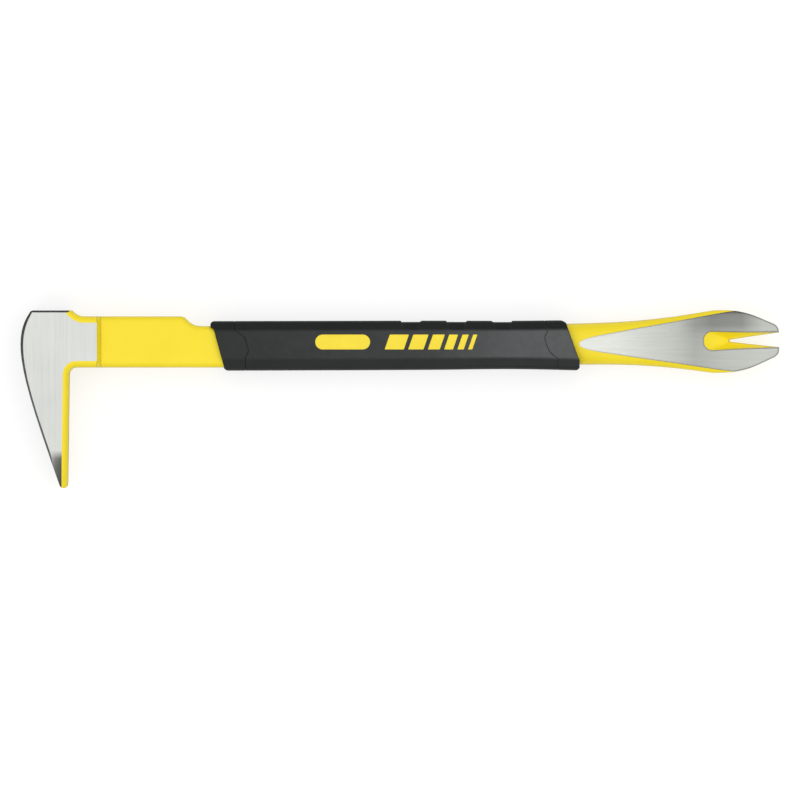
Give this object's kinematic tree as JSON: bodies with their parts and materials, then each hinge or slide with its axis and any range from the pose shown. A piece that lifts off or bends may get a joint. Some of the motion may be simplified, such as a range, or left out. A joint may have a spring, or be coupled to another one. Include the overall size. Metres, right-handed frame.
{
  "type": "pry bar",
  "caption": "Claw bar with a hooked claw and striking face at one end, a flared flat nail-pulling fork at the other, and a moulded faceted grip between them.",
  "frame": {"origin": "under the middle of the whole bar, in the plane of the head's lower ground side", "axes": "+X along the bar from the hook to the fork; +Y from the hook's tip towards the striking face; +Z from the side the bar lies on towards the fork's ground face"},
  "size_m": [0.3548, 0.0832, 0.023],
  "materials": {
    "bar_paint": "semi-gloss powder coat, ground bare steel on the working faces",
    "collar_rubber": "satin moulded rubber",
    "sleeve_rubber": "fine-grained satin moulded rubber",
    "label_film": "satin inlay"
  },
  "bodies": {
    "root": {"forged_bar": "bar_paint", "front_collar": "collar_rubber", "grip_sleeve": "sleeve_rubber", "rear_collar": "collar_rubber", "badge_panel": "label_film", "badge_bars": "label_film"}
  },
  "joints": []
}
